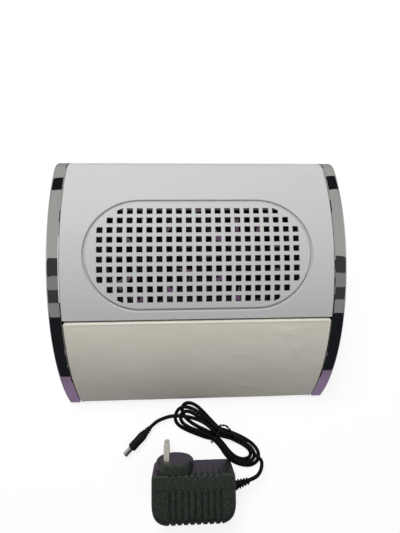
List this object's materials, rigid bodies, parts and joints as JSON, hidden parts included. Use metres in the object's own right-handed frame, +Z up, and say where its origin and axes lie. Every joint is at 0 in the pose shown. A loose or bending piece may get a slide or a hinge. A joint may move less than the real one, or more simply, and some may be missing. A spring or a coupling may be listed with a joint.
{
  "type": "nail dust collector",
  "caption": "Arched table-top nail dust collector with a square-hole lattice over two fans, a padded hand rest, bright side caps and a wall-plug adapter.",
  "frame": {"origin": "on the table, under the middle of the housing's bounding box", "axes": "+Z up, +X to the user's right, +Y away from the user"},
  "size_m": [0.28, 0.3683, 0.095],
  "materials": {
    "shell": "satin white-grey moulding",
    "bright_trim": "mirror-bright plated",
    "rest_leather": "cream synthetic leather",
    "foam": "open foam",
    "board": "pressed board",
    "inner_plastic": "plain white moulding",
    "screws": "zinc plated",
    "rubber": "matt",
    "fan_plastic": "black glass-filled",
    "magnet": "bonded ferrite",
    "steel": "ground",
    "bronze": "sintered bronze",
    "circuit": "green laminate",
    "copper": "enamelled copper on steel",
    "black_plastic": "black",
    "terminal": "tinned",
    "adapter_plastic": "fine spark texture",
    "brass": "nickel-washed brass",
    "lead_rubber": "soft black vinyl",
    "plug_metal": "nickel",
    "insert": "black",
    "tie": "coated wire"
  },
  "bodies": {
    "housing": {"top_shell": "shell", "left_side_cap": "bright_trim", "right_side_cap": "bright_trim", "hand_rest_cover": "rest_leather", "hand_rest_foam": "foam", "hand_rest_board": "board", "base_frame": "inner_plastic", "fan_tray": "inner_plastic", "fan_screws": "screws", "tray_screws": "screws", "base_screws": "screws", "hand_rest_screws": "screws", "left_cap_screws": "screws", "right_cap_screws": "screws", "front_left_foot": "rubber", "front_right_foot": "rubber", "back_left_foot": "rubber", "back_right_foot": "rubber", "fan_frame_left": "fan_plastic", "fan_frame_right": "fan_plastic", "fan_bearing_left": "bronze", "fan_bearing_right": "bronze", "fan_board_left": "circuit", "fan_board_right": "circuit", "fan_stator_left": "copper", "fan_stator_right": "copper", "switch_housing": "black_plastic", "power_inlet": "black_plastic", "switch_terminals": "terminal", "inlet_pin": "terminal", "inlet_nut": "terminal", "adapter_case": "adapter_plastic", "adapter_lid": "adapter_plastic", "adapter_disc": "adapter_plastic", "adapter_blades": "brass", "strain_relief": "lead_rubber", "plug_grip": "lead_rubber", "adapter_lead": "lead_rubber", "plug_lead": "lead_rubber", "lead_hank": "lead_rubber", "plug_barrel": "plug_metal", "plug_insert": "insert", "lead_tie": "tie"},
    "rotor_left": {"impeller_left": "fan_plastic", "magnet_ring_left": "magnet", "fan_shaft_left": "steel"},
    "rotor_right": {"impeller_right": "fan_plastic", "magnet_ring_right": "magnet", "fan_shaft_right": "steel"},
    "rocker": {"switch_rocker": "black_plastic"}
  },
  "joints": [
    {"name": "left_fan_spin", "type": "hinge", "parent": "housing", "child": "rotor_left", "pos_m": [-0.0464, 0.02298, 0.065], "axis": [0, 0, 1], "continuous": true},
    {"name": "right_fan_spin", "type": "hinge", "parent": "housing", "child": "rotor_right", "pos_m": [0.0464, 0.02298, 0.065], "axis": [0, 0, 1], "continuous": true},
    {"name": "switch_rock", "type": "hinge", "parent": "housing", "child": "rocker", "pos_m": [-0.104, 0.12353, 0.034], "axis": [0, 0, 1], "range_deg": [0, 20]}
  ]
}
